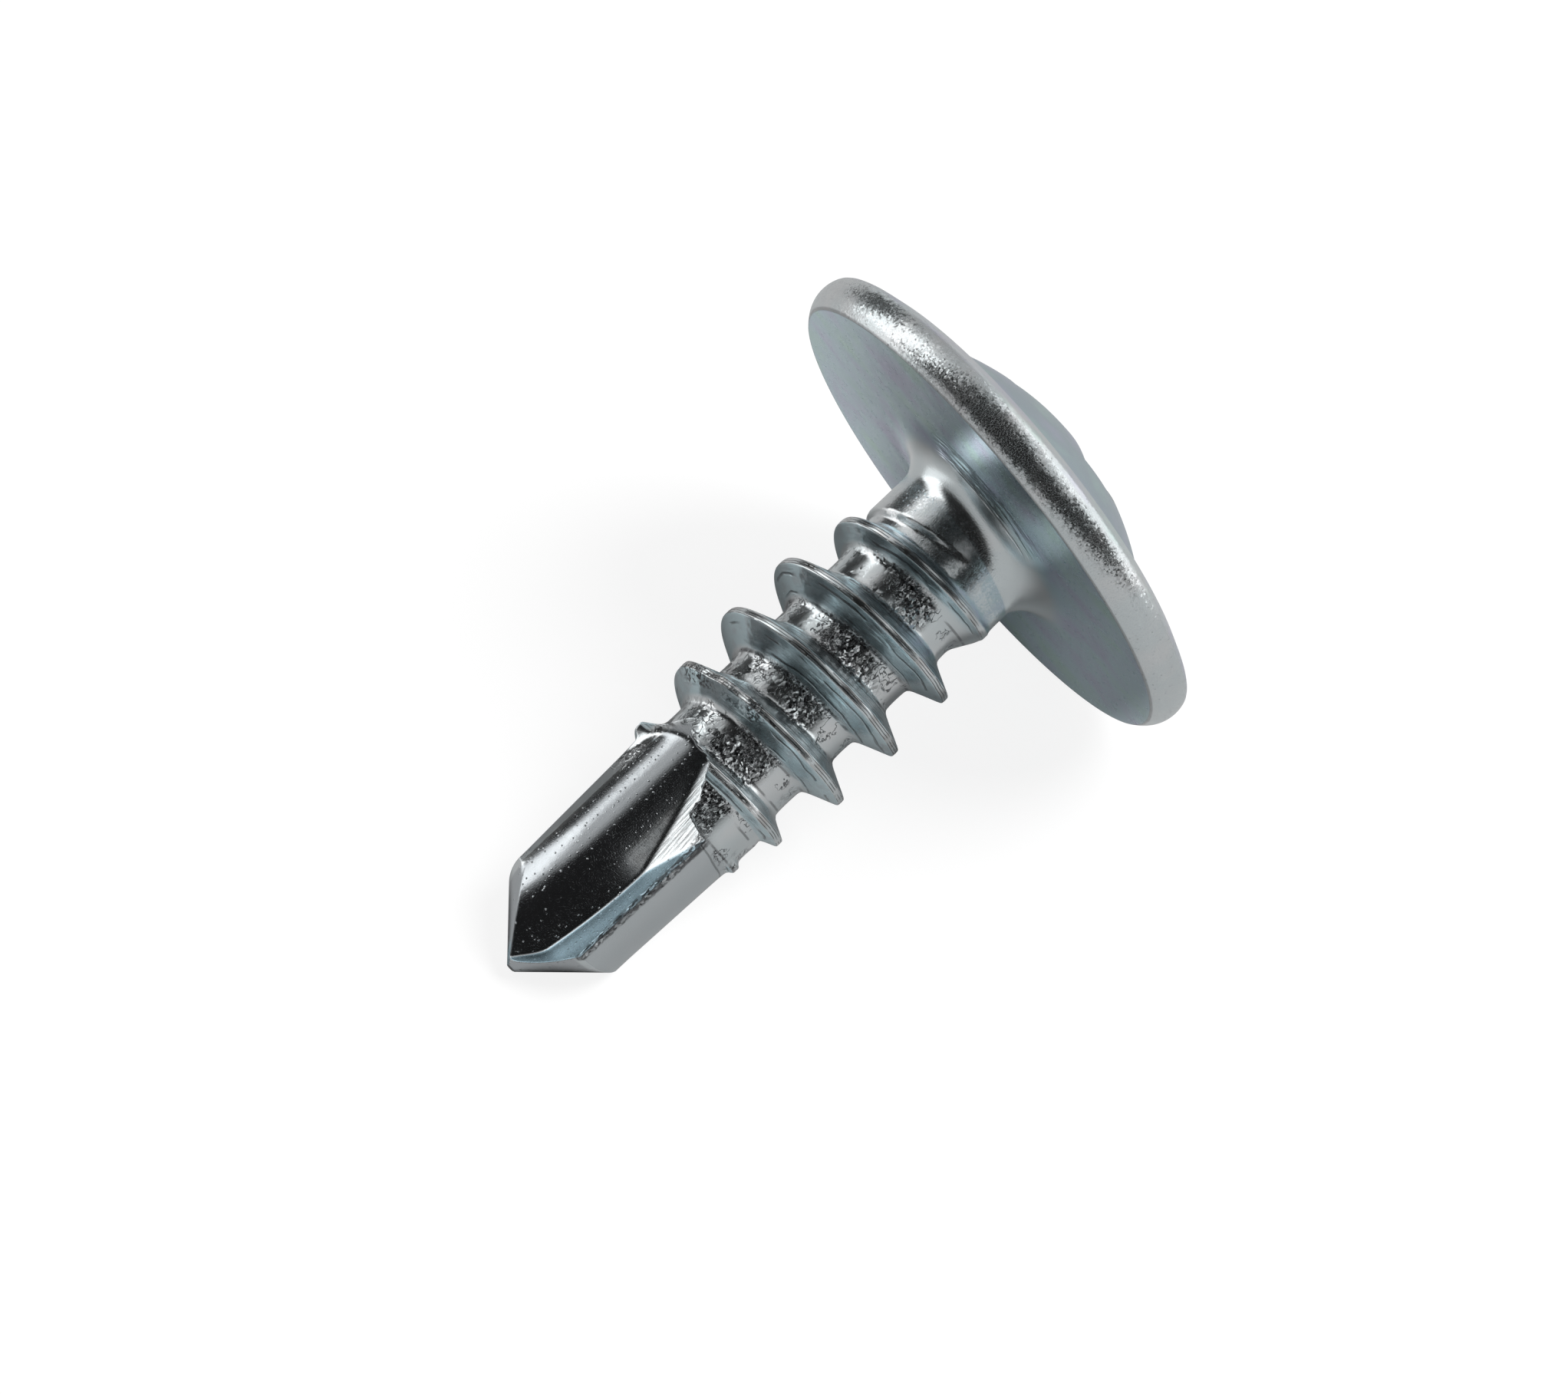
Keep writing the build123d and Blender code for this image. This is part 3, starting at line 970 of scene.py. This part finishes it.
    # painted shade on the flanks that face the tip, where they mirror the shadow under the shank, and a dark
    # line along the lip of the head
    paintedFlankShade = at.side + wave(tree, "paintedFlankShade", spot)
    paintedFlankShade = paintedFlankShade.step(*marks["paintedFlankShadeStart"]) * paintedFlankShade.step(*marks["paintedFlankShadeEnd"])
    return height, marksAndPaintedShade + at.tipFlank * paintedFlankShade * marks["paintedFlankShadeDark"] + at.lip * marks["lipDark"]


def zincColour(tree, at, marksAndPaintedShade):
    film = wave(tree, "film", stretched(tree, "film", at.x, at.y, at.z))
    filmed = amount(at, "film")
    layers = (
        ("pale", patch(tree, "pale", at.spot)),
        ("teal", amount(at, "teal").maths("MINIMUM", 1.0)),
        ("forged", at.inFlute * (1 - at.ramp) * (1 - at.rake)),
        ("rake", at.rake),
        ("forged", patch(tree, "mottled", at.spot) * at.flank * covers["mottled"]),
        ("under", at.under),
        ("crown", at.crown * at.dome),
        ("land", at.land * covers["land"]),
        ("green", film.step(*covers["green"]) * filmed),
        ("violet", film.step(*covers["violet"]) * filmed),
        ("rust", at.crest * patch(tree, "rusty", at.spot) * covers["rust"]),
        # dark marks, and painted shade on the tip-facing flanks and along the thread foot
        ("marksAndPaintedShade", marksAndPaintedShade.maths("MINIMUM", covers["marksAndPaintedShade"])),
    )
    colour = zinc["plain"]
    for name, share in layers:
        colour = mixColour(tree, share, colour, zinc[name])
    return colour


def zincMaterial():
    material = bpy.data.materials.new("brightZinc")
    tree = NodeTree(material)
    at = screwPlaces(tree)
    height, marksAndPaintedShade = zincRelief(tree, at)
    roughness = wave(tree, "rough", at.spot) + zinc["roughness"] + amount(at, "rough")
    rounded = tree.node("ShaderNodeBevel", {"samples": 6}, {"Radius": zinc["edge"]})
    bump = tree.node("ShaderNodeBump", {}, {
        "Strength": 1.0, "Distance": 0.001, "Height": height, "Normal": rounded,
    })
    metal = tree.node("ShaderNodeBsdfPrincipled", {}, {
        "Base Color": zincColour(tree, at, marksAndPaintedShade), "Metallic": 1.0, "Roughness": roughness,
        "Normal": bump,
    })
    tree.node("ShaderNodeOutputMaterial", {}, {"Surface": metal})
    return material


def direction(turn, height):
    turn, height = math.radians(turn), math.radians(height)
    level = math.cos(height)
    return Vector((math.cos(turn) * level, math.sin(turn) * level, math.sin(height)))


def nearTurn(x, y, towards, wide, soft):
    # 1 where the direction in plan is within so many degrees of the given one
    turn = y.maths("ARCTAN2", x) - math.radians(towards)
    off = turn.maths("WRAP", math.pi, -math.pi).maths("ABSOLUTE")
    return off.step(math.radians(wide + soft), math.radians(wide - soft))


def seenDirectly(tree):
    # 1 for what the camera sees, straight or through something clear
    direct = tree.node("ShaderNodeLightPath", output="Is Camera Ray")
    return direct.maths("MAXIMUM", tree.node("ShaderNodeLightPath", output="Is Transmission Ray"))


# the table: its own grey paint, which the metal sees, and for the camera white with a faint shadow.
# What the metal sees of it also has painted glow, light that no lamp gives and that only reflections show: a
# wide bright part (direction, half width and softness in degrees, start and full distance in metres, light)
# and spots near the head (x, y, radius in mm, light)
table = {
    "size": 0.6, "paint": 0.46, "lift": 0.86, "liftPaint": 0.16,
    "paintedGlowWedge": (116, 17, 4, 0.012, 0.022, 0.6),
    "paintedGlowSpots": ((5.3, -1.3, 3.2, 0.12), (4.9, 5.7, 1.3, 0.08)),
}


def makeFloor():
    half = table["size"] / 2
    corners = [(-half, -half, 0), (half, -half, 0), (half, half, 0), (-half, half, 0)]
    floor = meshObject("floor", corners, [(0, 1, 2, 3)])
    material = bpy.data.materials.new("paleTable")
    tree = NodeTree(material)

    def painted(grey, light):
        paint = tree.node("ShaderNodeBsdfDiffuse", {}, {"Color": (grey, grey, grey, 1)})
        shine = tree.node("ShaderNodeEmission", {}, {"Color": (1, 1, 1, 1), "Strength": light})
        return tree.node("ShaderNodeAddShader", {}, {0: paint, 1: shine})

    def distance(x, y):
        return (x * x + y * y).maths("SQRT")

    x, y, _ = axes(tree, tree.node("ShaderNodeTexCoord", output="Object"))
    # painted glow on the table that only reflections see
    towards, wide, soft, start, full, light = table["paintedGlowWedge"]
    paintedGlow = nearTurn(x, y, towards, wide, soft) * distance(x, y).step(start, full) * light
    for spotX, spotY, reach, light in table["paintedGlowSpots"]:
        away = distance(x - spotX / 1000, y - spotY / 1000)
        paintedGlow = paintedGlow + away.step(reach / 1000, 0.0) * light
    glossy = tree.node("ShaderNodeLightPath", output="Is Glossy Ray")
    mirrored = painted(table["paint"], paintedGlow * glossy)
    seen = painted(table["liftPaint"], table["lift"])
    both = tree.node("ShaderNodeMixShader", {}, {0: seenDirectly(tree), 1: mirrored, 2: seen})
    tree.node("ShaderNodeOutputMaterial", {}, {"Surface": both})
    floor.data.materials.append(material)


# the room that lights the screw and that the metal mirrors. Pairs are the heights in degrees where a
# part ends and where it is full
studio = {
    "dark": 0.015,
    "low": ((12, 4), 0.42),                             # near the horizon
    "roof": ((48, 70), 0.42),                           # overhead, but for a hole in this direction
    "hole": (-142, 46), "holeEdge": (0.74, 0.45),
    # panels: direction, half width, softness, lower edge, upper edge, light
    "panels": (
        (-30, 36, 4, (-12, -4), (62, 42), 1.15),
        (-45, 55, 10, (35, 50), (80, 62), 0.55),
        (113, 18, 3, (-12, -4), (50, 40), 1.45),
        (108, 27, 12, (28, 40), (72, 54), 0.50),
        (48, 46, 8, (-12, -4), (70, 50), 0.40),
    ),
    "patch": (80, 19, 3, (-15, -8), (34, 24), 0.92),    # a dark patch, given in the same way
}


def makeWorld():
    world = bpy.data.worlds.new("studio")
    bpy.context.scene.world = world
    tree = NodeTree(world)
    x, y, z = axes(tree, tree.node("ShaderNodeTexCoord", output="Generated"))
    lift = z.maths("ARCSINE")

    def band(end, full):
        return lift.step(math.radians(end), math.radians(full))

    def panel(towards, wide, soft, low, high, strength):
        return nearTurn(x, y, towards, wide, soft) * band(*low) * band(*high) * strength

    hole = direction(*studio["hole"])
    nearHole = x * hole.x + y * hole.y + z * hole.z
    low, lowLight = studio["low"]
    roof, roofLight = studio["roof"]
    light = studio["dark"] + band(*low) * lowLight
    light = light + band(*roof) * nearHole.step(*studio["holeEdge"]) * roofLight
    for settings in studio["panels"]:
        light = light + panel(*settings)
    light = light * (1 - panel(*studio["patch"]))
    camera = seenDirectly(tree)
    back = tree.node("ShaderNodeBackground", {}, {
        "Color": (1, 1, 1, 1), "Strength": camera + (1 - camera) * light,
    })
    tree.node("ShaderNodeOutputWorld", {}, {"Surface": back})


softbox = {"turn": -50, "height": 55, "distance": 0.5, "size": 0.25, "power": 2.2}


def makeSoftbox():
    lamp = bpy.data.lights.new("overheadSoftbox", "AREA")
    lamp.shape = "DISK"
    lamp.size = softbox["size"]
    lamp.energy = softbox["power"]
    thing = bpy.data.objects.new("overheadSoftbox", lamp)
    towards = direction(softbox["turn"], softbox["height"])
    thing.location = towards * softbox["distance"]
    thing.rotation_euler = towards.to_track_quat("Z", "Y").to_euler()
    thing.visible_glossy = False
    bpy.context.scene.collection.objects.link(thing)


view = {
    "sensor": 36, "lens": 236.71, "clipStart": 0.01,
    "place": (-0.0963187, -0.0941826, 0.1496804), "turn": (42.45376, -3.32739, -41.91431),
}


def makeCamera():
    lens = bpy.data.cameras.new("camera")
    lens.sensor_width = view["sensor"]
    lens.lens = view["lens"]
    lens.clip_start = view["clipStart"]
    camera = bpy.data.objects.new("camera", lens)
    camera.location = view["place"]
    camera.rotation_euler = Euler([math.radians(a) for a in view["turn"]])
    bpy.context.scene.collection.objects.link(camera)
    bpy.context.scene.camera = camera


print("screw mesh")
screw = makeScrew()
screw.name = "selfDrillingScrew"
print("bright zinc")
screw.data.materials.clear()
screw.data.materials.append(zincMaterial())
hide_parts("screw")
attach(screw, "root")

print("stage, light and camera")
makeFloor()
makeWorld()
makeSoftbox()
makeCamera()
bpy.context.scene.view_settings.view_transform = "Standard"
